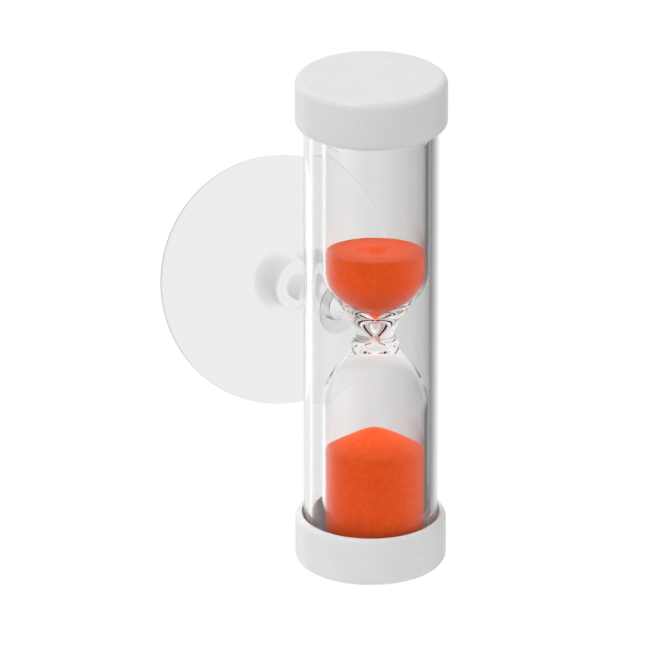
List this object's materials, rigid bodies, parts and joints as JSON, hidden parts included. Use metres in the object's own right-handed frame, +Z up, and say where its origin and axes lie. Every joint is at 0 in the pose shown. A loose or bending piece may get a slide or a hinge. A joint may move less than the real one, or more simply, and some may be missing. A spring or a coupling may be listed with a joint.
{
  "type": "suction cup sand timer",
  "caption": "Small hourglass in a clear tube between two white caps, with orange sand and a clear suction cup that swivels and bends on its stem.",
  "frame": {"origin": "middle of the bottom cap's underside, on the axis of the tube", "axes": "+Z up along the tube, +Y out of the tube's back along the suction cup's stem"},
  "size_m": [0.039, 0.0482, 0.0857],
  "materials": {
    "white_plastic": "white, satin moulded",
    "clear_plastic": "clear, polished",
    "vial_glass": "clear, fire polished",
    "stopper": "pale, dull",
    "orange_sand": "fine dyed grains",
    "foam": "white closed-cell foam",
    "clear_soft_plastic": "clear soft vinyl"
  },
  "bodies": {
    "timer": {"top_cap": "white_plastic", "bottom_cap": "white_plastic", "outer_tube": "clear_plastic", "glass_vial": "vial_glass", "fill_plug": "stopper", "upper_sand": "orange_sand", "lower_sand": "orange_sand", "top_pad": "foam", "bottom_pad": "foam"},
    "stud": {"cup_stud": "clear_soft_plastic"},
    "disc": {"cup_disc": "clear_soft_plastic"}
  },
  "joints": [
    {"name": "stud_swivel", "type": "hinge", "parent": "timer", "child": "stud", "pos_m": [0, 0.0111, 0.04285], "axis": [0, 1, 0], "continuous": true},
    {"name": "neck_flex", "type": "hinge", "parent": "stud", "child": "disc", "pos_m": [0, 0.0206, 0.04285], "axis": [-0.6451, 0, -0.7641], "range_deg": [-55, 5], "stiffness_Nm_per_rad": 0.01}
  ]
}
